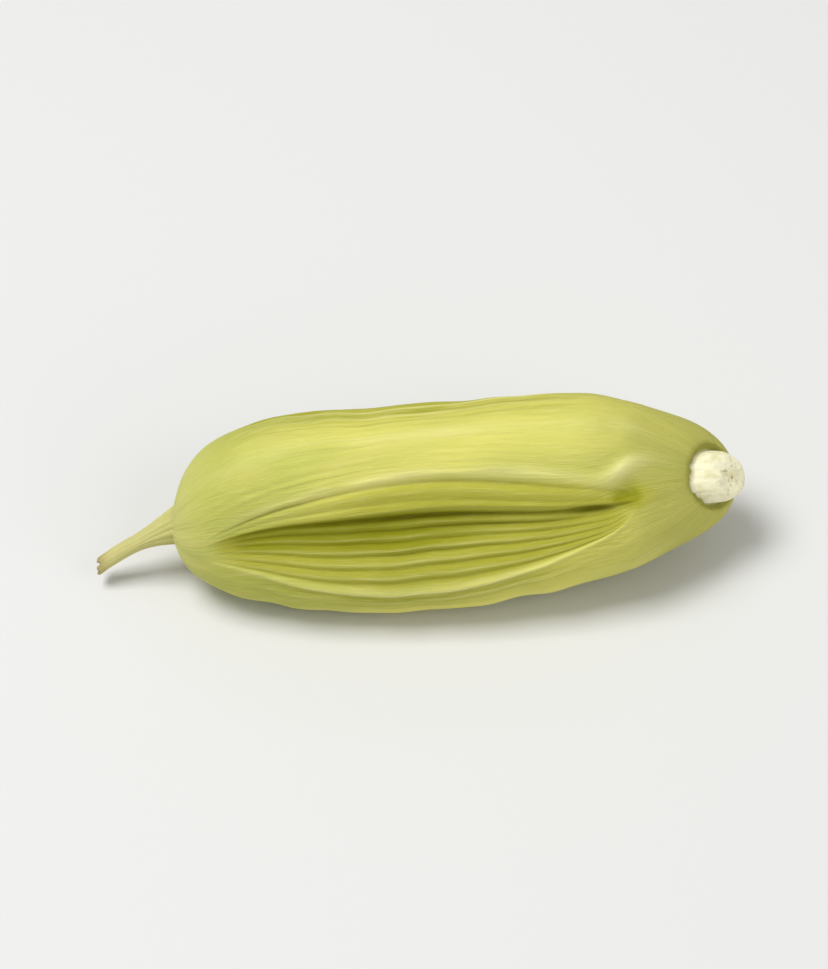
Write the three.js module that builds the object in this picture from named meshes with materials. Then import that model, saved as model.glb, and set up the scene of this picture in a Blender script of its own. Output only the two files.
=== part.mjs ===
// Green cardamom pod: a closed, dried capsule that lies on one of its three ribbed sides.
// Millimetres, +Z up. The pod's axis runs along X, with the stalk stub at -X and the scarred end at +X.
// "Along" is the distance from the stub's rim, and a "spoke" is one lengthwise line of the surface.
import * as THREE from "three";
import { mergeVertices } from "three/addons/utils/BufferGeometryUtils.js";

const { clamp, degToRad, lerp, smoothstep } = THREE.MathUtils;

// Driving dimensions: length and outline
const LENGTH = 20.8;
const BODY_RADIUS = 3.29;
const BODY_START = 2.7;
const BODY_END = 20.05;
const STUB_FULLNESS = 0.39; // power of the sine outline at the stub's end: smaller gives a blunter shoulder
const SCAR_FULLNESS = 0.29; // the same at the scar's end
const BODY_SKEW = 0.75; // below 1 moves the widest place towards the stub
const SHOULDER_EASE = 0.02; // share of the body over which the neck flares into it

// Stalk stub: a thin hollow tube that droops
const STUB_RADIUS = 0.3;
const NECK_RADIUS = 1;
const NECK_START = 1.2;
const NECK_END = 4.4;
const BORE_RADIUS = 0.17;
const BORE_DEPTH = 0.8;
const RIM_ROUNDING = 0.07;
const STUB_DROOP = 2.5;
const STUB_SWING = -0.8;
const DROOP_LENGTH = 7;
const DROOP_CURVE = 2;

// Scar on the blunt end: a short pale plug, its face turned towards -Y and up
const SCAR_RADIUS = 0.78;
const SCAR_HEIGHT = 0.85;
const SCAR_ROUNDING = 0.6; // 1 makes the plug a dome, and smaller a drum with a rounded edge
const SCAR_LEAN = 0.45;
const SCAR_RISE = 0.58;
const SCAR_LEAN_LENGTH = 4.4;

// Three lobes, with a sunken ribbed panel between each two
const LOBES = 3;
const LOBE_SHARE = 0.11;
const NECK_FADE = 3; // length over which lobes and panels rise from the round neck
const SCAR_FADE = 2.6; // length over which they sink into the round scar's end
const TOP_LEAN = degToRad(11);
const TWIST = degToRad(-28);
const PANEL_HALF_ANGLE = degToRad(40);
const PANEL_END_ANGLE = degToRad(7);
const PANEL_START = 3.9;
const PANEL_STOP = 18.2;
const PANEL_BLUNTNESS = 0.6; // power of the sine that shapes a panel: smaller gives blunter ends
const PANEL_SLIP = 0.85; // how far spokes crowd towards a panel's lower border near the scar: below 1
const SLIP_START = 11;
const PANEL_SINK = 0.05;
const GROOVE_DEPTH = 0.27;
const GROOVE_STRENGTHS = [0.75, 0.3, 1, 0.65, 0.4, 0.5, 0.45, 0.4]; // across a panel, with ribs between
const GROOVE_SHIFT = 5; // a panel begins this many grooves further down that list than the next one
const GROOVE_WAVER = 0.12; // share by which a groove's depth comes and goes
const GROOVE_WAVE = 0.8; // radians of that per millimetre
const HOLLOW_DEPTH = 0.22; // how far a dried panel sinks below its strongest groove
const HOLLOW_SPOKE = 4; // the hollow reaches from this spoke to the panel's lower border
const HOLLOW_SHARES = [0, 0.8, 1]; // for each panel: the pod lies on the first, which is full
const SEED_BULGE = 0.03;
const SEED_SPACING = 2.7;
const SEED_OFFSET = 2.1; // radians between the seeds of one panel and of the next

// Swellings, with angles, widths and slants per millimetre in degrees: a broad one high on the back, a small
// slanted knob near the scar, a dip below it and a pit where the front grooves meet
const SWELLINGS = [
  { height: 0.42, along: 15.8, length: 4, angle: 55, width: 40, slant: 0 },
  { height: 0.26, along: 17.9, length: 1.1, angle: 120, width: 6.5, slant: -7 },
  { height: -0.12, along: 17.8, length: 1, angle: 137, width: 8, slant: 0 },
  { height: -0.2, along: 16.4, length: 0.9, angle: 150, width: 4, slant: 0 },
];
const SWELLING_RADIUS = 1; // swellings are full where the pod is at least this thick

// How the pod lies
const BOW = 0.45;
const AXIS_HEIGHT = 3.2;

// Facets: grooves lie on a panel's odd spokes and rib crests on its even ones
const GROOVES = GROOVE_STRENGTHS.length;
const PANEL_SPOKES = 2 * GROOVES;
const LOBE_SPOKES = 12;
const SECTOR_SPOKES = PANEL_SPOKES + LOBE_SPOKES;
const SPOKES = LOBES * SECTOR_SPOKES;
const BODY_STATIONS = 36;
const NECK_STATIONS = 5;
const RIM_STATIONS = 4;
const SCAR_STATIONS = 6;

const SECTOR_ANGLE = (2 * Math.PI) / LOBES;

// Radius of the plain round outline: a skewed sine body joined smoothly to the neck.
function outlineRadius(along) {
  const share = clamp((along - BODY_START) / (BODY_END - BODY_START), 0, 1);
  const eased = ((1 + SHOULDER_EASE) * share ** 2) / (share + SHOULDER_EASE);
  const swell = Math.max(Math.sin(Math.PI * eased ** BODY_SKEW), 0);
  const body = BODY_RADIUS * swell ** lerp(STUB_FULLNESS, SCAR_FULLNESS, share);
  const neck = lerp(STUB_RADIUS, NECK_RADIUS, smoothstep(along, NECK_START, NECK_END));
  return Math.cbrt(body ** 3 + neck ** 3);
}

// Lobes, panels and ribs are full on the body and fade into the round neck and scar.
function reliefShare(along) {
  const fromNeck = smoothstep(along, BODY_START, BODY_START + NECK_FADE);
  const fromScar = 1 - smoothstep(along, BODY_END - SCAR_FADE, BODY_END);
  return fromNeck * fromScar;
}

// 0 at the pointed ends of a panel and 1 where it is widest.
function panelSwell(along) {
  const share = clamp((along - PANEL_START) / (PANEL_STOP - PANEL_START), 0, 1);
  return Math.sin(Math.PI * share) ** PANEL_BLUNTNESS;
}

// Place of a spoke in its sector: its panel or lobe, and its angle from the panel's middle.
function spokeAngle(spokeInSector, along) {
  const half = lerp(PANEL_END_ANGLE, PANEL_HALF_ANGLE, panelSwell(along));
  if (spokeInSector <= PANEL_SPOKES) {
    const share = spokeInSector / PANEL_SPOKES;
    const slip = PANEL_SLIP * smoothstep(along, SLIP_START, PANEL_STOP);
    return half * (2 * (share + slip * share * (1 - share)) - 1);
  }
  const lobeShare = (spokeInSector - PANEL_SPOKES) / LOBE_SPOKES;
  return lerp(half, SECTOR_ANGLE - half, lobeShare);
}

// Hollow of a panel, 0 to 1: it falls steeply past the strongest groove and rises gently to the lower border.
function hollowShare(sector, spokeInSector) {
  const share = clamp((spokeInSector - HOLLOW_SPOKE) / (PANEL_SPOKES - HOLLOW_SPOKE), 0, 1);
  return HOLLOW_SHARES[sector] * Math.sin(Math.PI * Math.sqrt(share));
}

// How far a panel lies below the lobes' surface: rib crests a little, grooves more, each in its own way.
function panelDepth(sector, spokeInSector, along) {
  const inPanel = spokeInSector > 0 && spokeInSector < PANEL_SPOKES;
  if (!inPanel) return 0;
  const swell = panelSwell(along);
  const crest = PANEL_SINK + HOLLOW_DEPTH * hollowShare(sector, spokeInSector);
  if (spokeInSector % 2 === 0) return swell * crest;
  const groove = (spokeInSector - 1) / 2;
  const strength = GROOVE_STRENGTHS[(groove + GROOVE_SHIFT * (LOBES - 1 - sector)) % GROOVES];
  const wavy = 1 - GROOVE_WAVER + GROOVE_WAVER * Math.sin(GROOVE_WAVE * along + 2 * spokeInSector + sector);
  return swell * (crest + GROOVE_DEPTH * swell * strength * wavy);
}

// Radius of the relief surface on one spoke.
function reliefRadius(round, along, sector, spokeInSector) {
  const share = reliefShare(along);
  const angle = spokeAngle(spokeInSector, along);
  const lobed = round * (1 - LOBE_SHARE * share * Math.cos(LOBES * angle));
  const panel = share * panelDepth(sector, spokeInSector, along);
  const onLobe = 0.5 - 0.5 * Math.cos(LOBES * angle);
  const wave = Math.sin((2 * Math.PI * along) / SEED_SPACING + SEED_OFFSET * sector);
  return lobed - panel + SEED_BULGE * share * onLobe * wave;
}

// Height of the swellings: each a bell along the pod and round it, whose middle line turns by its slant.
function swellingHeight(along, angle) {
  let height = 0;
  for (const swelling of SWELLINGS) {
    const off = along - swelling.along;
    const middle = degToRad(swelling.angle + swelling.slant * off);
    const crosswise = (2 * Math.sin((angle - middle) / 2)) / degToRad(swelling.width);
    height += swelling.height * Math.exp(-((off / swelling.length) ** 2) - crosswise ** 2);
  }
  return height;
}

// Where a point of the round outline ends up: relief, twist, a top lobe that leans towards -Y, leaning scar,
// bow and drooping stub, then flat below.
function place(round, along, spoke) {
  const sector = Math.floor(spoke / SECTOR_SPOKES) % LOBES;
  const spokeInSector = spoke % SECTOR_SPOKES;
  const radius = reliefRadius(round, along, sector, spokeInSector);
  const panelMiddle = -Math.PI / 2 + sector * SECTOR_ANGLE;
  const upright = panelMiddle + spokeAngle(spokeInSector, along) + TWIST * (along / LENGTH - 0.5);
  const angle = upright + (TOP_LEAN * (1 + Math.sin(upright))) / 2;
  const raised = radius + swellingHeight(along, angle) * Math.min(round / SWELLING_RADIUS, 1);
  const y = raised * Math.cos(angle);
  const z = raised * Math.sin(angle);
  const atScar = smoothstep(along, LENGTH - SCAR_LEAN_LENGTH, LENGTH);
  const lean = atScar * (SCAR_LEAN * y - SCAR_RISE * z);
  const droop = clamp(1 - along / DROOP_LENGTH, 0, 1) ** DROOP_CURVE;
  const bow = BOW * Math.sin((Math.PI * along) / LENGTH);
  const height = AXIS_HEIGHT + z - bow - STUB_DROOP * droop;
  return new THREE.Vector3(along + lean, y + STUB_SWING * droop, Math.max(height, 0));
}

// Half outline as (radius, along) points: bore floor, bore wall, rounded rim, neck, body and scar plug.
function halfOutline() {
  const points = [new THREE.Vector2(0, BORE_DEPTH), new THREE.Vector2(BORE_RADIUS, BORE_DEPTH)];
  for (let i = 0; i <= RIM_STATIONS; i++) {
    const turn = (Math.PI * i) / RIM_STATIONS;
    const middle = (BORE_RADIUS + STUB_RADIUS) / 2;
    const half = (STUB_RADIUS - BORE_RADIUS) / 2;
    points.push(new THREE.Vector2(middle - half * Math.cos(turn), RIM_ROUNDING * (1 - Math.sin(turn))));
  }
  for (let i = 1; i < NECK_STATIONS; i++) {
    const along = lerp(RIM_ROUNDING, BODY_START, i / NECK_STATIONS);
    points.push(new THREE.Vector2(outlineRadius(along), along));
  }
  for (let i = 0; i <= BODY_STATIONS; i++) {
    const share = 0.5 - 0.5 * Math.cos((Math.PI * i) / BODY_STATIONS);
    const along = lerp(BODY_START, BODY_END, share);
    points.push(new THREE.Vector2(outlineRadius(along), along));
  }
  for (let i = 0; i <= SCAR_STATIONS; i++) {
    const turn = (0.5 * Math.PI * i) / SCAR_STATIONS;
    const along = LENGTH - SCAR_HEIGHT * (1 - Math.sin(turn) ** SCAR_ROUNDING);
    points.push(new THREE.Vector2(SCAR_RADIUS * Math.max(Math.cos(turn), 0) ** SCAR_ROUNDING, along));
  }
  points.at(-1).x = 0;
  return points;
}

function podGeometry() {
  const outline = halfOutline();
  const geometry = new THREE.LatheGeometry(outline, SPOKES);
  const position = geometry.getAttribute("position");
  for (let i = 0; i < position.count; i++) {
    const spoke = Math.floor(i / outline.length);
    const { x: round, y: along } = outline[i % outline.length];
    position.setXYZ(i, ...(round === 0 ? place(0, along, 0) : place(round, along, spoke)));
  }
  geometry.deleteAttribute("normal");
  geometry.deleteAttribute("uv");
  const closed = mergeVertices(geometry);
  closed.computeBoundingBox();
  const middle = closed.boundingBox.getCenter(new THREE.Vector3());
  closed.translate(-middle.x, -middle.y, 0);
  closed.computeVertexNormals();
  return closed;
}

const husk = new THREE.MeshStandardMaterial({ color: 0xc9c56a, roughness: 0.6, metalness: 0 });

const pod = new THREE.Mesh(podGeometry(), husk);
pod.name = "pod";

const cardamom = new THREE.Group();
cardamom.add(pod);

export default cardamom;
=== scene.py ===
"""Green cardamom pod: a dried, closed capsule with smooth lobes, ribbed panels, a stalk stub and a scar.

The husk is one surface. A plain outline is turned round the pod's axis, and formulas then raise its lobes,
sink its ribbed panels, pleat its neck and roughen its ends. "Along" is the distance from the stub's rim
towards the scar, and a "spoke" is one lengthwise line of the surface. Two spokes make one groove and rib.
"""

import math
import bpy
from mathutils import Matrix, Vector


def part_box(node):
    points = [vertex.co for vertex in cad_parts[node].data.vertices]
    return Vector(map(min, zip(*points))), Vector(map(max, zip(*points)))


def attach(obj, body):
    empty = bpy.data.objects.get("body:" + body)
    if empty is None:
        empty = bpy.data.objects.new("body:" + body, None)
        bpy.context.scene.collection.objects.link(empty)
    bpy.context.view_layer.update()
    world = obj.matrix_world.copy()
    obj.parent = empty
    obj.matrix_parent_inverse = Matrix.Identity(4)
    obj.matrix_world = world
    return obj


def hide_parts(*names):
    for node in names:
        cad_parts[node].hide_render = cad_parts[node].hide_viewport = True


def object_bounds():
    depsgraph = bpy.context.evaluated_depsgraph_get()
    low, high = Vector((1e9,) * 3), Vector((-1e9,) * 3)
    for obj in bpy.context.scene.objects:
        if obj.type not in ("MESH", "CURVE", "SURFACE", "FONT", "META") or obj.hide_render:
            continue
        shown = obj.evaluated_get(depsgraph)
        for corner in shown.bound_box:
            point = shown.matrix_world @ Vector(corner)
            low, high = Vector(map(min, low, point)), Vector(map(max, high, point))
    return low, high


bl_info = {
    "name": "Cardamom Pod",
    "version": (1, 0, 0),
    "blender": (4, 5, 0),
    "location": "View3D > Sidebar > Cardamom",
    "description": "Makes a dried green cardamom pod and a plain studio stage",
    "category": "Add Mesh",
}

import bpy
import numpy as np
from bpy.props import FloatProperty, FloatVectorProperty, IntProperty, PointerProperty
from bpy.types import Operator, Panel, PropertyGroup
from mathutils import Matrix, Vector

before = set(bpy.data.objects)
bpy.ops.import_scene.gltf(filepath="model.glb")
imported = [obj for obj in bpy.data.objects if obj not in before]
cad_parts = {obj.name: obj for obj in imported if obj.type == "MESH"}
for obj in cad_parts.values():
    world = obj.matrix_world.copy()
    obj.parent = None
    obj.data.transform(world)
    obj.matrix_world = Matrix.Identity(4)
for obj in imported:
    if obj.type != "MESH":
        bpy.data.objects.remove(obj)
CAD_BOX = [list(corner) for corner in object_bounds()]
POD_NODE = "pod"

MM = 0.001

LOBES = 3
SECTOR_ANGLE = math.tau / LOBES
GROOVE_STRENGTHS = np.array([0.75, 0.3, 1, 0.65, 0.4, 0.5, 0.45, 0.4])
GROOVES = len(GROOVE_STRENGTHS)
# Each panel begins this many grooves further down that list than the next one
GROOVE_SHIFT = 5
PANEL_SPOKES = 2 * GROOVES
LOBE_SPOKES = 12
SECTOR_SPOKES = PANEL_SPOKES + LOBE_SPOKES
KEEL_SPOKE = PANEL_SPOKES + LOBE_SPOKES / 2
# The last place that a groove may wander to
LAST_PANEL_SPOKE = PANEL_SPOKES - 0.001
# The hollow reaches from this spoke to the panel's lower border
HOLLOW_SPOKE = 4
# Share of the hollow that each panel has: the pod lies on the first
HOLLOWS = np.array([0, 0.8, 1])

# Each swelling's height, place along and length in millimetres, its angle and width in degrees, and its slant
# in degrees a millimetre: a broad one high on the back, a small knob near the scar, a dip below it and a pit
# at the end of the front's strongest groove
BACK = (0.42, 15.8, 4, 55, 40, 0)
KNOB = (0.26, 17.9, 1.1, 120, 6.5, -7)
DIP = (-0.12, 17.8, 1, 137, 8, 0)
PIT = (-0.2, 16.4, 0.9, 150, 4, 0)
SWELLINGS = (BACK, KNOB, DIP, PIT)
# An olive patch between the knob and the pit, partly painted shade that the knob casts into the dip below it,
# given in the same way but without height
DIP_OLIVE_AND_SHADE = (0, 17.9, 1, 143, 10, 0)
# Swellings and fine relief are full where the plain outline's radius is at least this
FULL_RADIUS = 1 * MM

# Lengths over which lobes and panels rise from the round neck and sink into the round scar's end
NECK_FADE = 3 * MM
SCAR_FADE = 2.6 * MM
# Powers of the sine that shapes a panel, of a groove's sides and of a rib's pale line
PANEL_BLUNTNESS = 0.6
GROOVE_POWER = 1.7
RIB_POWER = 5
# Spokes over which a panel's relief and its colours begin at its borders
BORDER_FADE = 1
COLOUR_FADE = 1.5
# Share by which a groove's depth comes and goes, and radians of that a millimetre
GROOVE_WAVER = 0.12
GROOVE_WAVE = 0.8
# Most spokes by which a groove wanders, and radians of that a millimetre, a sector and a spoke
WANDER = 0.3
WANDER_ALONG = 0.42
WANDER_SECTOR = 1.9
WANDER_SPOKE = 0.35
# Radians between the seeds of one panel and of the next
SEED_OFFSET = 2.1
# Up to this swell a panel is so narrow that fine detail follows the true angle instead of the spokes
NARROW_SWELL = 0.25

# Seed, number of waves, longest wave and most waves round the pod of each uneven rise and fall
DENT_WAVES = (11, 24, 6 * MM, 7)
STRENGTH_WAVES = (5, 10, 9 * MM, 9)
TORN_WAVES = (8, 6, 60 * MM, 6)
# The shortest wave as a share of the longest
SHORTEST_WAVE = 0.25
# Mean and spread of the veins' strength, and spokes over which they begin at a lobe's borders
VEIN_MEAN = 0.6
VEIN_SPREAD = 0.4
VEIN_FADE = 2
# Seed of the veins, number of their waves, least and most waves a spoke, and radians of drift a millimetre
VEIN_SEED = 21
VEIN_WAVES = 8
VEIN_PACES = (0.4, 1.1)
VEIN_DRIFT = 0.3
# Widths in spokes of the keel and of its pale line
KEEL_WIDTH = 0.8
KEEL_LINE_WIDTH = 0.9
# Where the pleats begin, the length over which they end, their sway and the level they rise from
PLEAT_START = 0.6 * MM
PLEAT_FADE = 2 * MM
PLEAT_SWAY = 0.6
PLEAT_SWAYS_ROUND = 3
PLEAT_SWAYS_ALONG = 0.9
PLEAT_LEVEL = 0.6
# Length of the stub that is torn
TORN_LENGTH = 0.5 * MM
# Seed, number of waves and largest size of the scar's lumps and of the grit on them
LUMP_WAVES = (3, 12, 1.1 * MM)
GRIT_WAVES = (4, 16, 0.35 * MM)
# The smallest of either as a share of the largest, and the grit's height as a share of the lumps'
SMALLEST_LUMP = 0.4
GRIT_SHARE = 0.4
# How far lumps widen the plug as a share of its radius, and the dimple's share of that radius and its depth
LUMP_SPREAD = 0.045
DIMPLE_SHARE = 0.4
DIMPLE_DEPTH = 2

# Spokes, from and to, over which a panel's colours change
UPPER_ZONE = (2, HOLLOW_SPOKE)
# The olive is deepest just below the strongest groove: partly the panel's own colour, partly painted shade of
# the crease over the hollow
OLIVE_STARTS = (HOLLOW_SPOKE - 1, HOLLOW_SPOKE + 1)
OLIVE_STOPS = (HOLLOW_SPOKE + 4, PANEL_SPOKES - 1)
LOWER_GROOVES = (HOLLOW_SPOKE + 2, HOLLOW_SPOKE + 6)
LOWER_RIBS = (HOLLOW_SPOKE + 2, HOLLOW_SPOKE + 7)
# Places along the pod, from and to, over which they change
UPPER_GROOVES_PALE = (6 * MM, 10 * MM)
UPPER_ZONE_DARKENS = (6 * MM, 11 * MM)
OLIVE_PALES = (10 * MM, 15 * MM)
# Strengths of those colours
# The grooves' and the pit's strengths are strengths of painted shade
UPPER_GROOVE_SHARE = 0.5
LOWER_GROOVE_SHARE = 0.6
PIT_SHADE_SHARE = 0.8
UPPER_OLIVE = (0.15, 0.45)
OLIVE_AT_SCAR = 0.25
LEAST_OLIVE = 0.4
# Strength of the olive and painted shade in the dip below the knob
DIP_OLIVE_AND_SHADE_SHARE = 1.3
UPPER_RIB_SHARE = 0.35
LOWER_EDGE_SHARE = 0.4
KEEL_SHARE = 0.5
# Swell from which a panel has its full colour, and the least by which a groove's colour is evened
COLOUR_SWELL = 0.55
LEAST_SWELL = 0.01
# Width in spokes of a panel's pale edge, and how far from the lower border an edge counts as the lower one
EDGE_WIDTH = 0.7
LOWER_EDGE_SPOKES = 4
# Length past the body's start over which the stub's colour ends
STUB_FADE = 1.2 * MM
# Places along the pod in millimetres, from and to, over which the husk's colours change
RIM_BROWNS = (0, 0.6)
NECK_PALES = (2, 4.8)
NECK_GREENS = (4, 10)
SCAR_DULLS = (15.5, 19.5)
# Depth of the husk's fine bumps, how strongly husk and floor mirror light, and how rough the floor is
BUMP_HEIGHT = 0.09 * MM
HUSK_SHINE = 0.08
FLOOR_SHINE = 0.2
FLOOR_ROUGHNESS = 0.85

# Places and sizes of the lights, in metres
KEY_PLACE = (-0.06, 0, 0.19)
KEY_SIZE = 0.1
FILL_PLACE = (0.16, -0.12, 0.12)
FILL_SIZE = 0.16

# Rows of the surface in each stretch of the outline, and columns for each spoke
BORE_ROWS = 6
RIM_ROWS = 9
NECK_ROWS = 22
BODY_ROWS = 132
SCAR_ROWS = 16
COLUMNS_PER_SPOKE = 6


def length(name, description, millimetres):
    """A size in metres, given here in millimetres."""
    default = millimetres * MM
    return FloatProperty(name=name, description=description, default=default, unit="LENGTH", precision=5)


def angle(name, description, degrees):
    """An angle, given here in degrees."""
    return FloatProperty(name=name, description=description, default=math.radians(degrees), subtype="ANGLE")


def number(name, description, default):
    """A plain number."""
    return FloatProperty(name=name, description=description, default=default, precision=4)


def power(name, description, watts):
    """A light's power."""
    return FloatProperty(name=name, description=description, default=watts, unit="POWER")


def colour(name, description, default):
    """A linear colour."""
    return FloatVectorProperty(
        name=name, description=description, default=default, subtype="COLOR", size=3, min=0, max=1
    )


class PodBody(PropertyGroup):
    """Outline of the pod and how it lies."""

    length: length("Length", "Stub rim to scar", 20.8)
    radius: length("Radius", "Radius of the plain round body", 3.29)
    start: length("Start", "Where the neck swells into the body", 2.7)
    end: length("End", "Where the body meets the scar", 20.05)
    stub_fullness: number("Stub fullness", "Power of the outline's sine at the stub: lower is blunter", 0.39)
    scar_fullness: number("Scar fullness", "Power of the outline's sine at the scar: lower is blunter", 0.29)
    skew: number("Skew", "Below 1 moves the widest place towards the stub", 0.75)
    shoulder_ease: number("Shoulder ease", "Share of the body over which the neck flares into it", 0.02)
    bow: length("Bow", "How far the middle sags below the ends", 0.45)
    axis_height: length("Axis height", "Height of the axis above the floor", 3.2)
    top_lean: angle("Top lean", "Turn of the top lobe towards the front", 11)
    twist: angle("Twist", "Turn of the scar's end against the stub's", -28)


class PodEnds(PropertyGroup):
    """Stalk stub, neck and scar."""

    stub_radius: length("Stub radius", "Outside of the hollow stub", 0.3)
    neck_radius: length("Neck radius", "Radius that the neck grows to inside the body", 1)
    neck_start: length("Neck start", "Where the stub begins to flare", 1.2)
    neck_end: length("Neck end", "Where the flare ends inside the body", 4.4)
    bore_radius: length("Bore radius", "Inside of the hollow stub", 0.17)
    bore_depth: length("Bore depth", "Depth of the hollow", 0.8)
    rim_rounding: length("Rim rounding", "Depth of the rounded rim", 0.07)
    droop: length("Droop", "How far the stub's rim hangs below the axis", 2.5)
    swing: length("Swing", "How far the stub's rim bends sideways", -0.8)
    droop_length: length("Droop length", "Length that bends", 7)
    droop_curve: number("Droop curve", "Power of the bend", 2)
    scar_radius: length("Scar radius", "Radius of the pale plug", 0.78)
    scar_height: length("Scar height", "How far the plug stands out", 0.85)
    scar_rounding: number("Scar rounding", "1 makes the plug a dome, and smaller a rounded drum", 0.6)
    scar_lean: number("Scar lean", "Slope of the scar's face towards the front", 0.45)
    scar_rise: number("Scar rise", "Slope of the scar's face upwards", 0.58)
    scar_lean_length: length("Scar lean length", "Length over which the end slopes", 4.4)


class PodPanels(PropertyGroup):
    """Lobes, and the sunken ribbed panels between them."""

    lobe_share: number("Lobe share", "Height of the lobes as a share of the radius", 0.11)
    half_angle: angle("Half angle", "Half the width of a panel where it is widest", 40)
    end_angle: angle("End angle", "Half the width of a panel at its ends", 7)
    start: length("Start", "Where the panels begin", 3.9)
    stop: length("Stop", "Where the panels end", 18.2)
    slip: number("Slip", "How far grooves crowd towards a panel's lower border near the scar: below 1", 0.85)
    slip_start: length("Slip start", "Where the grooves begin to crowd", 11)
    sink: length("Sink", "How far rib crests lie below the lobes", 0.05)
    groove_depth: length("Groove depth", "Depth of the strongest groove", 0.27)
    hollow_depth: length("Hollow depth", "How far a dried panel sinks below its strongest groove", 0.22)
    seed_bulge: length("Seed bulge", "Height of the waves over the seeds", 0.03)
    seed_spacing: length("Seed spacing", "Distance between seeds", 2.7)


class HuskDetail(PropertyGroup):
    """Fine relief on top of the main form."""

    dent_height: length("Dent height", "Soft dents all over the husk", 0.022)
    vein_height: length("Vein height", "Faint lengthwise veins on the lobes", 0.013)
    rib_height: length("Rib height", "Fine ribs on the lobe below each panel", 0.035)
    keel_height: length("Keel height", "Raised line on the crest of each lobe", 0.022)
    pleat_height: length("Pleat height", "Folds where the husk gathers at the neck", 0.07)
    pleats: IntProperty(name="Pleats", description="Number of folds round the neck", default=13)
    rim_raggedness: length("Rim raggedness", "Torn edge of the stub", 0.14)
    scar_roughness: length("Scar roughness", "Lumps on the scar", 0.042)


class HuskColours(PropertyGroup):
    """Colours of the husk and its ends."""

    pale: colour("Pale", "Lobes", (0.68, 0.64, 0.15))
    green: colour("Green", "Greener patches on the lobes", (0.5, 0.515, 0.11))
    straw: colour("Straw", "Dry patches", (0.68, 0.58, 0.18))
    dull: colour("Dull", "Husk round the scar", (0.38, 0.37, 0.08))
    # Olive of the panels, also used as painted shade below the strongest groove, on the lobe below each panel
    # and in the dip below the knob
    panel: colour("Panel", "Olive floor of the panels", (0.26, 0.265, 0.004))
    rib: colour("Rib", "Ribs and the paler parts of the panels", (0.42, 0.41, 0.05))
    # Painted shade: the grooves, the pit and the crease round the plug's foot are darkened with this colour
    groove: colour("Groove", "Bottom of the grooves", (0.19, 0.18, 0.004))
    # Also the painted highlight on the knob
    edge: colour("Edge", "Pale lines beside the panels and on the keels", (0.8, 0.76, 0.32))
    scar: colour("Scar", "Pale plug", (0.9, 0.86, 0.6))
    stub: colour("Stub", "Dry stub", (0.63, 0.56, 0.23))
    rim: colour("Rim", "Torn rim of the stub", (0.44, 0.34, 0.15))
    bore: colour("Bore", "Inside of the stub", (0.05, 0.03, 0.015))
    speck: colour("Speck", "Brown marks in the middle of the scar", (0.3, 0.22, 0.1))


class StageLook(PropertyGroup):
    """Floor, light and camera."""

    floor: colour("Floor", "Plain pale floor", (0.7, 0.7, 0.69))
    floor_radius: length("Floor radius", "From the floor's middle to its edges", 1000)
    azimuth: angle("Azimuth", "Camera's turn round the pod, from -Y towards +X", 10)
    elevation: angle("Elevation", "Camera's height above the floor, as an angle", 48)
    roll: angle("Roll", "Tilt of the picture", 9.3)
    lens: FloatProperty(name="Lens", description="Focal length", default=200, subtype="DISTANCE_CAMERA")
    fill: number("Fill", "Share of the picture's width that the pod takes up", 0.8)
    key_power: power("Key power", "Main light", 0.31)
    fill_power: power("Fill power", "Light from the other side", 0.14)
    sky: number("Sky", "Strength of the even light from all round", 0.42)


def smooth_step(value, low, high):
    """0 below low, 1 above high, and an even S curve between."""
    share = np.clip((value - low) / (high - low), 0, 1)
    return share * share * (3 - 2 * share)


def between(first, second, share):
    """The value that lies that share of the way from first to second."""
    return first + (second - first) * share


def seeded_waves(along, turn, seed, waves, longest, most_round):
    """Uneven rise and fall, mostly within -1 to 1: a sum of sine waves of seeded lengths, counts and phases.
    None is shorter along the pod than SHORTEST_WAVE of the longest, and each fits a whole number of times
    round it."""
    draw = np.random.default_rng(seed)
    total = 0
    for _ in range(waves):
        pace = math.tau / (longest * draw.uniform(SHORTEST_WAVE, 1))
        count = draw.integers(-most_round, most_round + 1)
        total = total + np.sin(pace * along + count * turn + draw.uniform(0, math.tau))
    return total / math.sqrt(waves)


def seeded_lumps(across, upward, seed, waves, size):
    """Uneven lumps, mostly within -1 to 1: a sum of sine waves over a plane, with seeded headings and phases.
    None is longer than size or shorter than SMALLEST_LUMP of it."""
    draw = np.random.default_rng(seed)
    total = 0
    for _ in range(waves):
        heading = draw.uniform(0, math.tau)
        pace = math.tau / (size * draw.uniform(SMALLEST_LUMP, 1))
        forward = across * math.cos(heading) + upward * math.sin(heading)
        total = total + np.sin(pace * forward + draw.uniform(0, math.tau))
    return total / math.sqrt(waves)


def seeded_veins(spoke, along):
    """Uneven lengthwise lines, mostly within -1 to 1: a sum of sine waves across the spokes, with seeded
    spacings and a slow drift along the pod."""
    draw = np.random.default_rng(VEIN_SEED)
    total = 0
    for _ in range(VEIN_WAVES):
        pace = math.tau * draw.uniform(*VEIN_PACES)
        drift = draw.uniform(-VEIN_DRIFT, VEIN_DRIFT) / MM
        total = total + np.sin(pace * spoke + drift * along + draw.uniform(0, math.tau))
    return total / math.sqrt(VEIN_WAVES)


def outline_radius(along, body, ends):
    """Radius of the plain round outline: a skewed sine body and the neck, joined as the cube root of the sum
    of their cubes."""
    share = np.clip((along - body.start) / (body.end - body.start), 0, 1)
    eased = (1 + body.shoulder_ease) * share**2 / (share + body.shoulder_ease)
    swell = np.maximum(np.sin(math.pi * eased**body.skew), 0)
    neck = between(ends.stub_radius, ends.neck_radius, smooth_step(along, ends.neck_start, ends.neck_end))
    fullness = between(body.stub_fullness, body.scar_fullness, share)
    return np.cbrt((body.radius * swell**fullness) ** 3 + neck**3)


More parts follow.
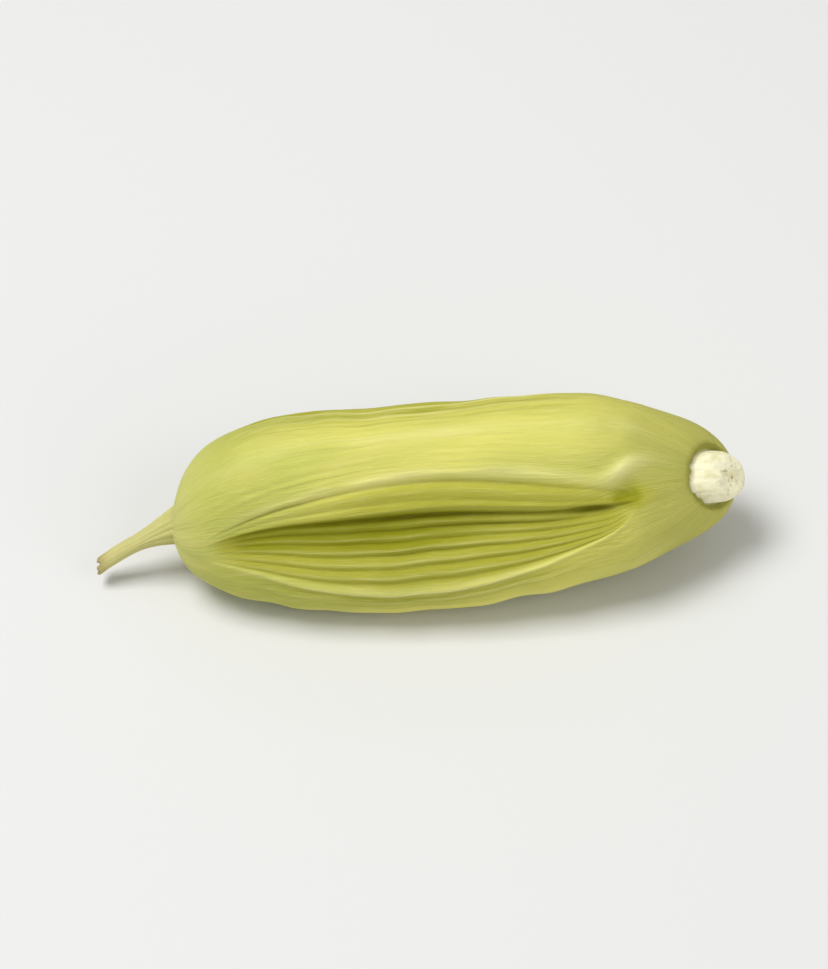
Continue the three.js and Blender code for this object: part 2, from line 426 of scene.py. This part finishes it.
def half_outline(body, ends):
    """Rows of the surface as (along, radius), from the bore's floor over the rim, neck and body to the scar's
    tip. The rim is half an ellipse between bore and stub, and the scar a quarter of a squared-off one."""
    wall = np.linspace(ends.bore_depth, ends.rim_rounding, BORE_ROWS, endpoint=False)
    bore_along = np.concatenate([[ends.bore_depth, ends.bore_depth], wall])
    bore_radius = np.concatenate([[0, ends.bore_radius / 2], np.full(BORE_ROWS, ends.bore_radius)])

    turn = np.linspace(0, math.pi, RIM_ROWS)
    rim_along = ends.rim_rounding * (1 - np.sin(turn))
    rim_radius = between(ends.bore_radius, ends.stub_radius, 0.5 - 0.5 * np.cos(turn))

    neck_along = np.linspace(ends.rim_rounding, body.start, NECK_ROWS, endpoint=False)[1:]
    # Rows of the body crowd towards both its ends
    even = np.linspace(0, 1, BODY_ROWS)
    body_along = between(body.start, body.end, 0.5 * even + 0.25 - 0.25 * np.cos(math.pi * even))
    outer_along = np.concatenate([neck_along, body_along])

    turn = np.linspace(0, math.pi / 2, SCAR_ROWS)
    scar_along = body.length - ends.scar_height * (1 - np.sin(turn) ** ends.scar_rounding)
    scar_radius = ends.scar_radius * np.cos(turn).clip(0) ** ends.scar_rounding
    scar_radius[-1] = 0

    along = np.concatenate([bore_along, rim_along, outer_along, scar_along])
    radius = np.concatenate([bore_radius, rim_radius, outline_radius(outer_along, body, ends), scar_radius])
    return along, radius


def relief_share(along, body):
    """1 on the body, fading to 0 at the round neck and scar: how much of the lobes and panels shows."""
    from_neck = smooth_step(along, body.start, body.start + NECK_FADE)
    from_scar = 1 - smooth_step(along, body.end - SCAR_FADE, body.end)
    return from_neck * from_scar


def panel_swell(along, panels):
    """0 at the pointed ends of a panel and 1 where it is widest: a sine to a power."""
    share = np.clip((along - panels.start) / (panels.stop - panels.start), 0, 1)
    return np.sin(math.pi * share).clip(0) ** PANEL_BLUNTNESS


def spoke_angle(spoke, along, panels):
    """Angle from the panel's middle: steps across the panel, which crowd towards its lower border near the
    scar, then even steps across the lobe."""
    half = between(panels.end_angle, panels.half_angle, panel_swell(along, panels))
    share = spoke / PANEL_SPOKES
    slip = panels.slip * smooth_step(along, panels.slip_start, panels.stop)
    in_panel = half * (2 * (share + slip * share * (1 - share)) - 1)
    on_lobe = between(half, SECTOR_ANGLE - half, (spoke - PANEL_SPOKES) / LOBE_SPOKES)
    return np.where(spoke <= PANEL_SPOKES, in_panel, on_lobe)


def even_turn(spoke, sector, along, panels):
    """Angle round the pod that fine detail follows: by the spokes where panels are wide, and by the true
    angle at their ends."""
    by_spoke = SECTOR_ANGLE * (spoke - PANEL_SPOKES / 2) / SECTOR_SPOKES
    by_angle = spoke_angle(spoke, along, panels)
    wide = smooth_step(panel_swell(along, panels), NARROW_SWELL, 1)
    return SECTOR_ANGLE * sector + between(by_angle, by_spoke, wide)


def inside_panel(spoke, fade):
    """1 inside a panel, falling to 0 at its borders over that many spokes."""
    return smooth_step(spoke, 0, fade) * (1 - smooth_step(spoke, PANEL_SPOKES - fade, PANEL_SPOKES))


def wandering_spoke(spoke, sector, along):
    """The spoke whose groove or rib has wandered to this place: a slow sine of at most WANDER spokes."""
    phase = WANDER_ALONG * along / MM + WANDER_SECTOR * sector + WANDER_SPOKE * spoke
    wander = WANDER * np.sin(phase) * inside_panel(spoke, BORDER_FADE)
    return np.clip(spoke + wander, 0, LAST_PANEL_SPOKE)


def groove_profile(spoke, sector, along, panels):
    """0 on rib crests and up to 1 at the bottom of the strongest groove: sharp clefts on the odd spokes.
    Each groove has its own strength and comes and goes along the pod."""
    wandered = wandering_spoke(spoke, sector, along)
    groove = np.floor(wandered / 2).astype(int)
    odd_spoke = 2 * groove + 1
    cleft = (1 - np.abs(wandered - odd_spoke)) ** GROOVE_POWER
    wavy = 1 - GROOVE_WAVER + GROOVE_WAVER * np.sin(GROOVE_WAVE * along / MM + 2 * odd_spoke + sector)
    place_in_list = (groove + GROOVE_SHIFT * (LOBES - 1 - sector.astype(int))) % GROOVES
    depth = cleft * GROOVE_STRENGTHS[place_in_list] * wavy * panel_swell(along, panels)
    return np.where(spoke < PANEL_SPOKES, depth, 0)


def rib_lines(spoke, sector, along, panels):
    """Narrow lines, 1 on rib crests: the distance from the nearest groove to a high power."""
    wandered = wandering_spoke(spoke, sector, along)
    from_groove = np.abs(wandered - 2 * np.floor(wandered / 2) - 1)
    return np.where(spoke < PANEL_SPOKES, from_groove**RIB_POWER, 0) * panel_swell(along, panels)


def below_panel(spoke):
    """1 at a panel's lower border, fading to 0 over the half of the lobe that follows it."""
    return np.where(spoke < PANEL_SPOKES, 0, 1 - smooth_step(spoke, PANEL_SPOKES, KEEL_SPOKE))


def hollow_profile(spoke, sector):
    """0 at a panel's upper border, rising steeply past the strongest groove and falling gently to the lower
    border: half a sine wave of the square root of the share from HOLLOW_SPOKE to the border."""
    share = np.clip((spoke - HOLLOW_SPOKE) / (PANEL_SPOKES - HOLLOW_SPOKE), 0, 1)
    return HOLLOWS[sector.astype(int)] * np.sin(math.pi * np.sqrt(share))


def bell(along, angle_round, swelling):
    """One swelling, from 0 to 1: a bell along the pod and round it, whose middle line turns by its slant."""
    _, middle, size, direction, width, slant = swelling
    off = along / MM - middle
    crosswise = 2 * np.sin((angle_round - np.radians(direction + slant * off)) / 2) / math.radians(width)
    return np.exp(-((off / size) ** 2) - crosswise**2)


def true_angle(along, sector, from_middle, body):
    """Angle round the axis from +Y towards +Z: twisted evenly along the pod, with its top leant forwards."""
    upright = -math.pi / 2 + sector * SECTOR_ANGLE + from_middle + body.twist * (along / body.length - 0.5)
    return upright + body.top_lean * (1 + np.sin(upright)) / 2


def border_distance(spoke):
    """Spokes from the nearest border between a panel and a lobe."""
    return np.minimum(np.abs(spoke - PANEL_SPOKES), np.minimum(spoke, SECTOR_SPOKES - spoke))


def lower_ribs(spoke):
    """Lines that carry a panel's ribs on below it: a fading cosine, 1 on crests two spokes apart."""
    return below_panel(spoke) * np.cos(math.pi * (spoke - PANEL_SPOKES))


def fine_relief(along, spoke, turn, share, swell, body, detail):
    """Soft dents, faint veins, lower ribs and a keel on the lobes, and pleats round the neck, as heights.
    The keel is a bell across the lobe's crest, and the pleats are a swaying sine without its sign."""
    dents = detail.dent_height * seeded_waves(along, turn, *DENT_WAVES)
    on_lobe = smooth_step(spoke, PANEL_SPOKES, PANEL_SPOKES + VEIN_FADE)
    on_lobe = on_lobe * (1 - smooth_step(spoke, SECTOR_SPOKES - VEIN_FADE, SECTOR_SPOKES))
    strength = VEIN_MEAN + VEIN_SPREAD * seeded_waves(along, turn, *STRENGTH_WAVES)
    veins = detail.vein_height * on_lobe * strength * seeded_veins(spoke, along)
    ribs = detail.rib_height * strength * swell * lower_ribs(spoke)
    keel = detail.keel_height * np.exp(-(((spoke - KEEL_SPOKE) / KEEL_WIDTH) ** 2))
    at_neck = smooth_step(along, PLEAT_START, body.start)
    at_neck = at_neck * (1 - smooth_step(along, body.start, body.start + PLEAT_FADE))
    sway = PLEAT_SWAY * np.sin(PLEAT_SWAYS_ROUND * turn + PLEAT_SWAYS_ALONG * along / MM)
    pleat = np.abs(np.sin(detail.pleats * turn / 2 + sway))
    pleats = detail.pleat_height * at_neck * (pleat - PLEAT_LEVEL)
    return share * (dents + veins + ribs + keel) + pleats


def on_plug(along, radius, body, ends):
    """True on the scar's plug."""
    return (radius <= ends.scar_radius) * (along > body.length / 2)


def scar_lumps(radius, angle_round):
    """Lumps on the scar's face with finer grit on them: seeded lumps of two sizes, added."""
    across, upward = radius * np.cos(angle_round), radius * np.sin(angle_round)
    grit = GRIT_SHARE * seeded_lumps(across, upward, *GRIT_WAVES)
    return seeded_lumps(across, upward, *LUMP_WAVES) + grit


def pod_points(rows, spoke, sector, settings, fine):
    """Points of the surface for rows (along, radius) and columns (spoke, sector), in metres.
    Lobes raise the radius by a cosine, panels sink it, and seeds wave it. The pod is then twisted, its top
    leant to the front, its scar sloped, its stub drooped and its belly flattened on the floor.
    fine is 1 for the whole relief, and 0 for the main form alone."""
    body, ends, panels, detail = settings
    along, radius = (values[:, None] for values in rows)
    spoke, sector = spoke[None], sector[None]
    turn = even_turn(spoke, sector, along, panels)
    share = relief_share(along, body)
    swell = panel_swell(along, panels)
    from_middle = spoke_angle(spoke, along, panels)
    angle_round = true_angle(along, sector, from_middle, body)

    on_lobe = 0.5 - 0.5 * np.cos(LOBES * from_middle)
    seeds = np.sin(math.tau * along / panels.seed_spacing + SEED_OFFSET * sector)
    groove = groove_profile(spoke, sector, along, panels)
    hollow = panels.hollow_depth * hollow_profile(spoke, sector)
    sunk = swell * (panels.sink * inside_panel(spoke, BORDER_FADE) + panels.groove_depth * groove + hollow)
    lobed = radius * (1 - panels.lobe_share * share * np.cos(LOBES * from_middle))
    raised = lobed + share * (panels.seed_bulge * on_lobe * seeds - sunk)

    full = np.minimum(radius / FULL_RADIUS, 1)
    swellings = sum(swelling[0] * MM * bell(along, angle_round, swelling) for swelling in SWELLINGS)
    raised = raised + full * swellings
    raised = raised + fine * full * fine_relief(along, spoke, turn, share, swell, body, detail)

    at_scar = on_plug(along, radius, body, ends)
    lumps = scar_lumps(radius, angle_round)
    raised = raised * (1 + fine * LUMP_SPREAD * at_scar * lumps)
    dimple = np.exp(-((radius / (DIMPLE_SHARE * ends.scar_radius)) ** 2))
    sunken = detail.scar_roughness * at_scar * (lumps + 1 + DIMPLE_DEPTH * dimple)
    at_rim = 1 - smooth_step(along, 0, TORN_LENGTH)
    torn = detail.rim_raggedness * at_rim * np.abs(seeded_waves(along, turn, *TORN_WAVES))

    y = raised * np.cos(angle_round)
    z = raised * np.sin(angle_round)
    sloped = smooth_step(along, body.length - ends.scar_lean_length, body.length)
    lean = sloped * (ends.scar_lean * y - ends.scar_rise * z)
    droop = np.clip(1 - along / ends.droop_length, 0, 1) ** ends.droop_curve
    bow = body.bow * np.sin(math.pi * along / body.length)
    x = along + lean + fine * (torn - sunken)
    height = body.axis_height + z - bow - ends.droop * droop
    return np.stack([x, y + ends.swing * droop, np.maximum(height, 0)], axis=-1)


def panel_mark(spoke, along, angle_round, share, panels):
    """How olive a panel is, its own olive deepened with painted shade: little above its strongest groove,
    most just below that groove where the crease shades the hollow, and less towards the lower border and the
    scar. The olive and painted shade in the dip below the knob count too."""
    lower = smooth_step(spoke, *OLIVE_STARTS)
    olive = lower * (1 - smooth_step(spoke, *OLIVE_STOPS))
    olive = olive * between(1, OLIVE_AT_SCAR, smooth_step(along, *OLIVE_PALES))
    upper = between(*UPPER_OLIVE, smooth_step(along, *UPPER_ZONE_DARKENS))
    shade = between(upper, 1, np.maximum(olive, LEAST_OLIVE * lower))
    spread = inside_panel(spoke, COLOUR_FADE) * smooth_step(panel_swell(along, panels), 0, COLOUR_SWELL)
    return np.maximum(share * spread * shade, DIP_OLIVE_AND_SHADE_SHARE * bell(along, angle_round, DIP_OLIVE_AND_SHADE))


def groove_shade_mark(spoke, sector, along, angle_round, share, panels):
    """How much painted shade darkens a groove: its depth, evened towards the panel's ends. Grooves above the
    strongest one pale towards the scar, those well below it are paler all along, and the pit is darkened with
    painted shade."""
    evened = np.sqrt(panel_swell(along, panels) + LEAST_SWELL)
    dark = share * groove_profile(spoke, sector, along, panels) / evened
    upper = between(1, UPPER_GROOVE_SHARE, smooth_step(along, *UPPER_GROOVES_PALE))
    dark = dark * between(upper, 1, smooth_step(spoke, *UPPER_ZONE))
    dark = dark * between(1, LOWER_GROOVE_SHARE, smooth_step(spoke, *LOWER_GROOVES))
    return np.maximum(dark, PIT_SHADE_SHARE * bell(along, angle_round, PIT))


def rib_mark(spoke, sector, along, share, panels):
    """How pale a rib's crest is: faint in a panel's upper part, and carried on below the panel."""
    crest = rib_lines(spoke, sector, along, panels)
    crest = crest * between(UPPER_RIB_SHARE, 1, smooth_step(spoke, *LOWER_RIBS))
    carried_on = panel_swell(along, panels) * lower_ribs(spoke).clip(0) ** 2
    return share * np.maximum(crest, carried_on)


def edge_mark(spoke, along, share, panels):
    """How pale the panels' borders and the lobes' keels are: bells across them, weaker on lower borders."""
    border = np.exp(-((border_distance(spoke) / EDGE_WIDTH) ** 2)) * panel_swell(along, panels)
    is_lower = np.abs(spoke - PANEL_SPOKES) < LOWER_EDGE_SPOKES
    border = border * np.where(is_lower, LOWER_EDGE_SHARE, 1)
    keel = np.exp(-(((spoke - KEEL_SPOKE) / KEEL_LINE_WIDTH) ** 2))
    return share * np.maximum(border, KEEL_SHARE * keel)


def pod_marks(rows, spoke, sector, settings):
    """What the finish reads at each point, as four vectors: grain (a place that follows the spokes, in mm at
    the pod's middle), relief (panel olive deepened with painted shade, painted shade of the groove, rib),
    tint (pale edge, olive and painted shade below a panel, painted highlight on the knob) and ends (stub,
    scar from 1 at its foot to 2 at its middle, bore)."""
    body, ends, panels, _ = settings
    along, radius = (values[:, None] for values in rows)
    spoke, sector = spoke[None], sector[None]
    turn = even_turn(spoke, sector, along, panels)
    angle_round = true_angle(along, sector, spoke_angle(spoke, along, panels), body)
    share = relief_share(along, body)
    ring = np.where(on_plug(along, radius, body, ends), radius, body.radius) / MM

    panel = panel_mark(spoke, along, angle_round, share, panels)
    groove = groove_shade_mark(spoke, sector, along, angle_round, share, panels)
    rib = rib_mark(spoke, sector, along, share, panels)
    edge = edge_mark(spoke, along, share, panels)
    # Olive below each panel, partly the panel's colour carried on and partly painted shade on the lobe
    # beneath it
    below = share * panel_swell(along, panels) * below_panel(spoke)
    # Painted highlight on the knob
    knob = bell(along, angle_round, KNOB)

    row = np.arange(len(along))[:, None]
    last_row = len(along) - 1
    scar_row = len(along) - SCAR_ROWS
    bore_row = BORE_ROWS + 2
    stub = 1 - smooth_step(along, ends.neck_start, body.start + STUB_FADE)
    scar = smooth_step(row, scar_row - 2, scar_row + 1) + smooth_step(row, scar_row + 2, last_row)
    bore = 1 - smooth_step(row, bore_row, bore_row + RIM_ROWS / 2)
    marks = {
        "grain": (ring * np.cos(turn), ring * np.sin(turn), along / MM),
        "relief": (panel, groove, rib),
        "tint": (edge, below, knob),
        "ends": (stub, scar, bore),
    }
    shape = np.broadcast_shapes(along.shape, spoke.shape)
    marks = {name: [np.broadcast_to(part, shape) for part in parts] for name, parts in marks.items()}
    return {name: np.stack(parts, axis=-1) for name, parts in marks.items()}


def ring_faces(rows, columns):
    """Faces of a tube of rings with a pole at each end: quads between rings, and a fan of triangles at each
    pole."""
    column = np.arange(columns)
    after = (column + 1) % columns
    ring = 1 + columns * np.arange(rows - 1)[:, None]
    quads = np.stack([ring + column, ring + after, ring + columns + after, ring + columns + column], axis=-1)
    last_ring = 1 + columns * (rows - 1)
    last = last_ring + columns
    first_fan = np.stack([np.zeros_like(column), 1 + after, 1 + column], axis=-1)
    last_fan = np.stack([np.full_like(column, last), last_ring + column, last_ring + after], axis=-1)
    return quads.reshape(-1, 4), np.concatenate([first_fan, last_fan])


def poles_and_rings(grid):
    """A grid whose first and last rows are single points, as a flat list: first point, rings, last point."""
    width = grid.shape[-1]
    return np.concatenate([grid[0, :1], grid[1:-1].reshape(-1, width), grid[-1, :1]])


def surface_object(name, points, quads, triangles, marks):
    """A smooth mesh object at the origin, with each mark as a vector attribute of its points."""
    mesh = bpy.data.meshes.new(name)
    mesh.vertices.add(len(points))
    mesh.vertices.foreach_set("co", points.ravel())
    mesh.loops.add(quads.size + triangles.size)
    mesh.loops.foreach_set("vertex_index", np.concatenate([quads.ravel(), triangles.ravel()]))
    mesh.polygons.add(len(quads) + len(triangles))
    starts = np.concatenate([4 * np.arange(len(quads)), quads.size + 3 * np.arange(len(triangles))])
    mesh.polygons.foreach_set("loop_start", starts)
    mesh.polygons.foreach_set("use_smooth", np.ones(len(starts), dtype=bool))
    for mark, vectors in marks.items():
        attribute = mesh.attributes.new(mark, "FLOAT_VECTOR", "POINT")
        attribute.data.foreach_set("vector", vectors.ravel())
    mesh.update(calc_edges=True)
    if mesh.validate():
        raise RuntimeError(f"{name} has faces that Blender had to mend")
    piece = bpy.data.objects.new(name, mesh)
    bpy.context.scene.collection.objects.link(piece)
    return piece


class Wire:
    """One output of a node. Arithmetic on wires adds Math nodes to the finish they belong to."""

    def __init__(self, finish, socket):
        self.finish = finish
        self.socket = socket

    def out(self, name):
        """Another output of the same node."""
        return Wire(self.finish, self.socket.node.outputs[name])

    def __add__(self, other):
        return self.finish.math("ADD", self, other)

    def __sub__(self, other):
        return self.finish.math("SUBTRACT", self, other)

    def __rsub__(self, other):
        return self.finish.math("SUBTRACT", other, self)

    def __mul__(self, other):
        return self.finish.math("MULTIPLY", self, other)

    __radd__ = __add__
    __rmul__ = __mul__


class Finish:
    """A material under construction."""

    def __init__(self, name):
        self.material = bpy.data.materials.new(name)
        self.material.use_nodes = True
        self.tree = self.material.node_tree
        self.tree.nodes.clear()

    def node(self, kind, settings=None, inputs=None, output=0):
        """Adds a node of that kind, sets its settings first and its inputs after, and returns one output if
        it has any. Inputs and the output are named by identifier, name or number."""
        node = self.tree.nodes.new(kind)
        for name, value in (settings or {}).items():
            setattr(node, name, value)
        sockets = {socket.identifier: socket for socket in node.inputs}
        for key, value in (inputs or {}).items():
            socket = sockets[key] if key in sockets else node.inputs[key]
            if isinstance(value, Wire):
                self.tree.links.new(value.socket, socket)
            elif socket.type == "RGBA":
                socket.default_value = (*value, 1)
            else:
                socket.default_value = value
        if len(node.outputs) == 0:
            return None
        outputs = {socket.identifier: socket for socket in node.outputs}
        return Wire(self, outputs[output] if output in outputs else node.outputs[output])

    def math(self, operation, first, second):
        """Arithmetic on two values."""
        return self.node("ShaderNodeMath", {"operation": operation}, {0: first, 1: second})

    def mark(self, name):
        """A vector that the mesh carries at each point."""
        return self.node("ShaderNodeAttribute", {"attribute_name": name}, output="Vector")

    def split(self, vector):
        """A vector's three parts."""
        parts = self.node("ShaderNodeSeparateXYZ", inputs={0: vector})
        return parts, parts.out("Y"), parts.out("Z")

    def stretch(self, vector, factors):
        """A vector with each part multiplied by its own factor."""
        return self.node("ShaderNodeVectorMath", {"operation": "MULTIPLY"}, {0: vector, 1: factors})

    def noise(self, vector, scale, detail, roughness=0.5):
        """Soft noise, about 0.5 on average."""
        inputs = {"Vector": vector, "Scale": scale, "Detail": detail, "Roughness": roughness}
        return self.node("ShaderNodeTexNoise", inputs=inputs)

    def step(self, value, low, high):
        """0 below low, 1 above high, and an even S curve between."""
        inputs = {"Value": value, "From Min": low, "From Max": high}
        return self.node("ShaderNodeMapRange", {"interpolation_type": "SMOOTHSTEP"}, inputs)

    def mix(self, share, first, second):
        """A colour that share of the way from first to second."""
        inputs = {"Factor_Float": share, "A_Color": first, "B_Color": second}
        return self.node("ShaderNodeMix", {"data_type": "RGBA"}, inputs, "Result_Color")

    def shade(self, base, roughness, normal, constants):
        """Ends the finish in a principled shader."""
        inputs = {"Base Color": base, "Roughness": roughness, **constants}
        if normal:
            inputs["Normal"] = normal
        shader = self.node("ShaderNodeBsdfPrincipled", inputs=inputs)
        self.node("ShaderNodeOutputMaterial", inputs={"Surface": shader})
        return self.material


def lobe_colour(finish, colours, along, broad, patch, streak):
    """Pale lobe with greener patches, most near the neck, dry patches, a dull end and green streaks."""
    near_neck = 1 - finish.step(along, *NECK_GREENS)
    near_scar = finish.step(along, *SCAR_DULLS)
    greenness = finish.step(broad + 0.3 * near_neck, 0.42, 0.76)
    lobe = finish.mix(greenness, colours.pale, colours.green)
    lobe = finish.mix(finish.step(patch, 0.5, 0.78) * 0.4, lobe, colours.straw)
    lobe = finish.mix(near_scar * (0.5 + 0.5 * patch), lobe, colours.dull)
    return finish.mix(0.3 - 0.3 * streak, lobe, colours.green)


def panel_colour(finish, colours, panel, rib, patch, streak):
    """Olive panel, streaked and patched with the ribs' colour, with pale lines on its ribs."""
    olive = finish.step(panel, 0.45, 1) * (1 - 0.25 * streak - 0.2 * finish.step(patch, 0.4, 0.7))
    floor = finish.mix(olive, colours.rib, colours.panel)
    return finish.mix(rib * (0.1 + 0.3 * patch + 0.2 * streak), floor, colours.edge)


def plug_colour(finish, colours, grain, scar):
    """Cream plug, mottled with the stub's colour, with brown specks towards its middle."""
    mottle = finish.step(finish.noise(grain, 3.2, 3), 0.45, 0.7)
    plug = finish.mix(mottle * 0.5, colours.scar, colours.stub)
    specks = finish.step(finish.noise(grain, 7, 1), 0.62, 0.72)
    return finish.mix(specks * finish.step(scar, 1.25, 2) * 0.6, plug, colours.speck)


def husk_finish(colours):
    """Dry husk: pale mottled lobes, olive panels with paler ribs and grooves darkened with painted shade,
    fibres along the spokes, a mottled cream scar and a dry stub. Painted shade also darkens the panels below
    their strongest grooves, the lobes below the panels, the dip below the knob and the crease round the
    plug's foot, and a painted highlight lightens the knob."""
    finish = Finish("husk")
    grain = finish.mark("grain")
    _, _, along = finish.split(grain)
    panel, groove, rib = finish.split(finish.mark("relief"))
    edge, below, knob = finish.split(finish.mark("tint"))
    stub, scar, bore = finish.split(finish.mark("ends"))
    lengthwise = finish.stretch(grain, (1, 1, 0.06))
    streaky = finish.stretch(grain, (1, 1, 0.3))

    fibre = finish.noise(lengthwise, 8, 4, 0.6)
    hair = finish.noise(lengthwise, 26, 2)
    broad = finish.noise(streaky, 0.5, 2)
    patch = finish.noise(streaky, 1.3, 3)
    fine = finish.noise(grain, 11, 3)
    cells = finish.noise(grain, 34, 2)
    streak = finish.step(fibre, 0.32, 0.68)

    husk = lobe_colour(finish, colours, along, broad, patch, streak)
    # Olive and painted shade on the lobe below each panel
    husk = finish.mix(below * (0.35 + 0.5 * (1 - streak)), husk, colours.panel)
    husk = finish.mix(below * rib * 0.6, husk, colours.edge)
    floor = panel_colour(finish, colours, panel, rib, patch, streak)
    husk = finish.mix(finish.step(panel, 0, 0.5), husk, floor)
    # Painted shade in the grooves and the pit
    husk = finish.mix(finish.step(groove, 0.08, 0.75) * 0.85, husk, colours.groove)
    husk = finish.mix(edge * finish.step(patch, 0.2, 0.7) * 0.6, husk, colours.edge)
    # Painted highlight on the knob
    husk = finish.mix(knob * 0.9, husk, colours.edge)
    husk = finish.mix(finish.step(hair, 0.45, 0.75) * (0.2 - 0.15 * panel), husk, colours.edge)

    husk = finish.mix(0.35 - 0.35 * finish.step(along, *NECK_PALES), husk, colours.edge)
    husk = finish.mix(stub * 0.75, husk, finish.mix(streak, colours.stub, colours.edge))
    at_rim = 1 - finish.step(along, *RIM_BROWNS)
    husk = finish.mix(at_rim * finish.step(fine, 0.2, 0.7), husk, colours.rim)
    # Painted shade in the crease round the foot of the plug
    crease_shade = finish.step(scar, 0.05, 0.35) * (1 - finish.step(scar, 0.5, 0.95))
    husk = finish.mix(finish.step(scar, 0.55, 0.8), husk, plug_colour(finish, colours, grain, scar))
    husk = finish.mix(crease_shade * 0.4, husk, colours.groove)
    husk = finish.mix(bore, husk, colours.bore)

    roughness = 0.6 + 0.18 * fine + 0.08 * scar
    height = 0.55 * fibre + 0.2 * hair + 0.15 * fine + 0.1 * cells
    bump = {"Height": height, "Strength": 0.7, "Distance": BUMP_HEIGHT}
    normal = finish.node("ShaderNodeBump", inputs=bump)
    return finish.shade(husk, roughness, normal, {"Specular IOR Level": HUSK_SHINE})


def floor_finish(floor_colour):
    """Plain pale matt floor."""
    shine = {"Specular IOR Level": FLOOR_SHINE}
    return Finish("floor").shade(tuple(floor_colour), FLOOR_ROUGHNESS, None, shine)


class CARDAMOM_OT_husk(Operator):
    """Make the pod's husk, with its stub and scar, in place of the plain solid"""

    bl_idname = "cardamom.husk"
    bl_label = "Make husk"

    def execute(self, context):
        scene = context.scene
        settings = (scene.pod_body, scene.pod_ends, scene.pod_panels, scene.husk_detail)
        rows = half_outline(scene.pod_body, scene.pod_ends)
        step = np.arange(LOBES * SECTOR_SPOKES * COLUMNS_PER_SPOKE) / COLUMNS_PER_SPOKE
        sector = np.floor(step / SECTOR_SPOKES)
        spoke = step - SECTOR_SPOKES * sector
        plain = pod_points(rows, spoke, sector, settings, fine=0)
        low, high = (np.array(corner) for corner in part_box(POD_NODE))
        shift = (low + high - plain.min(axis=(0, 1)) - plain.max(axis=(0, 1))) / 2
        shift[2] = 0
        points = poles_and_rings(pod_points(rows, spoke, sector, settings, fine=1)) + shift
        marks = pod_marks(rows, spoke, sector, settings)
        marks = {name: poles_and_rings(grid) for name, grid in marks.items()}
        quads, triangles = ring_faces(len(rows[0]) - 2, len(spoke))
        husk = surface_object("husk", points, quads, triangles, marks)
        husk.data.materials.append(husk_finish(scene.husk_colours))
        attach(husk, "root")
        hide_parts(POD_NODE)
        return {"FINISHED"}


def aimed(place, target):
    """Matrix of a light at place that shines at target."""
    back = (Vector(place) - Vector(target)).normalized()
    return Matrix.Translation(place) @ back.to_track_quat("Z", "Y").to_matrix().to_4x4()


def add_light(name, place, target, size, power):
    """A square area light."""
    light = bpy.data.lights.new(name, "AREA")
    light.size = size
    light.energy = power
    holder = bpy.data.objects.new(name, light)
    holder.matrix_world = aimed(place, target)
    bpy.context.scene.collection.objects.link(holder)


def add_camera(stage, target, pod_length):
    """A camera that looks at target from the stage's azimuth and elevation, from so far away that the pod
    fills its share of the picture's width."""
    turn, rise, roll = stage.azimuth, stage.elevation, stage.roll
    back = Vector((math.sin(turn) * math.cos(rise), -math.cos(turn) * math.cos(rise), math.sin(rise)))
    level = Vector((math.cos(turn), math.sin(turn), 0))
    upward = back.cross(level)
    right = level * math.cos(roll) - upward * math.sin(roll)
    top = level * math.sin(roll) + upward * math.cos(roll)
    data = bpy.data.cameras.new("camera")
    data.lens = stage.lens
    data.sensor_fit = "HORIZONTAL"
    distance = pod_length / stage.fill * data.lens / data.sensor_width
    data.clip_start = distance / 20
    camera = bpy.data.objects.new("camera", data)
    facing = Matrix((right, top, back)).transposed().to_4x4()
    camera.matrix_world = Matrix.Translation(target + distance * back) @ facing
    bpy.context.scene.collection.objects.link(camera)
    bpy.context.scene.camera = camera


class CARDAMOM_OT_stage(Operator):
    """Make the floor, the lights and the camera"""

    bl_idname = "cardamom.stage"
    bl_label = "Make stage"

    def execute(self, context):
        scene = context.scene
        stage = scene.stage_look
        low, high = (Vector(corner) for corner in CAD_BOX)
        middle = (low + high) / 2
        reach = stage.floor_radius
        corners = [(-reach, -reach, 0), (reach, -reach, 0), (reach, reach, 0), (-reach, reach, 0)]
        mesh = bpy.data.meshes.new("floor")
        mesh.from_pydata(corners, [], [(0, 1, 2, 3)])
        mesh.materials.append(floor_finish(stage.floor))
        floor = bpy.data.objects.new("floor", mesh)
        scene.collection.objects.link(floor)
        add_light("key", KEY_PLACE, middle, KEY_SIZE, stage.key_power)
        add_light("fill", FILL_PLACE, middle, FILL_SIZE, stage.fill_power)
        world = bpy.data.worlds.new("sky")
        world.use_nodes = True
        background = world.node_tree.nodes["Background"]
        background.inputs["Color"].default_value = (1, 1, 1, 1)
        background.inputs["Strength"].default_value = stage.sky
        scene.world = world
        scene.view_settings.view_transform = "Standard"
        add_camera(stage, middle, high.x - low.x)
        return {"FINISHED"}


class CARDAMOM_PT_pod(Panel):
    """Lists the pod's pieces and their settings"""

    bl_idname = "CARDAMOM_PT_pod"
    bl_label = "Cardamom pod"
    bl_space_type = "VIEW_3D"
    bl_region_type = "UI"
    bl_category = "Cardamom"

    def draw(self, context):
        layout = self.layout
        layout.operator(CARDAMOM_OT_husk.bl_idname)
        layout.operator(CARDAMOM_OT_stage.bl_idname)
        for holder in SETTINGS:
            group = getattr(context.scene, holder)
            column = layout.column(heading=holder)
            for name in group.bl_rna.properties.keys():
                if name not in ("rna_type", "name"):
                    column.prop(group, name)


SETTINGS = {
    "pod_body": PodBody,
    "pod_ends": PodEnds,
    "pod_panels": PodPanels,
    "husk_detail": HuskDetail,
    "husk_colours": HuskColours,
    "stage_look": StageLook,
}
CLASSES = (*SETTINGS.values(), CARDAMOM_OT_husk, CARDAMOM_OT_stage, CARDAMOM_PT_pod)


def register():
    for item in CLASSES:
        bpy.utils.register_class(item)
    for holder, group in SETTINGS.items():
        setattr(bpy.types.Scene, holder, PointerProperty(type=group))


def unregister():
    for holder in SETTINGS:
        delattr(bpy.types.Scene, holder)
    for item in reversed(CLASSES):
        bpy.utils.unregister_class(item)


def main():
    register()
    bpy.ops.cardamom.husk()
    bpy.ops.cardamom.stage()


if __name__ == "__main__":
    main()
